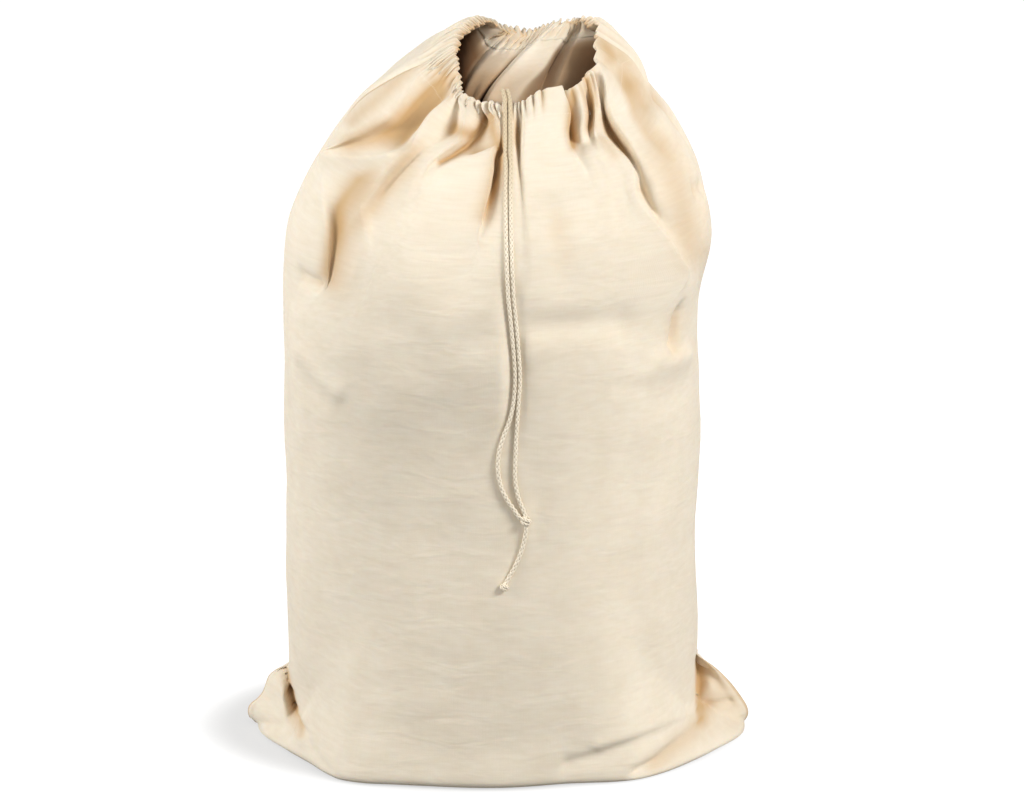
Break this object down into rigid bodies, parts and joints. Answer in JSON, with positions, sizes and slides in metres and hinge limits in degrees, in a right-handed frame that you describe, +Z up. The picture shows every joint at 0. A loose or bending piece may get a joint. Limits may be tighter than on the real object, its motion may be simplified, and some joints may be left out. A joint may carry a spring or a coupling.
{
  "type": "canvas drawstring bag",
  "caption": "Tall canvas drawstring bag standing open on its flattened bottom, with a gathered mouth, eared bottom corners and a knotted cotton drawcord hanging down its front.",
  "frame": {"origin": "on the floor under the middle of the bag's flattened bottom", "axes": "+Z up, front of the bag with the drawcord towards -Y, side seams and bottom seam along X"},
  "size_m": [0.4813, 0.3996, 0.6701],
  "materials": {
    "canvas": "natural unbleached plain-weave cotton canvas, matt",
    "drawcord": "natural braided cotton cord, matt"
  },
  "bodies": {
    "root": {"front_panel": "canvas", "back_panel": "canvas", "cord_left": "drawcord", "cord_right": "drawcord", "cord_knot": "drawcord", "cord_tail": "drawcord", "end_knot": "drawcord"}
  },
  "joints": []
}
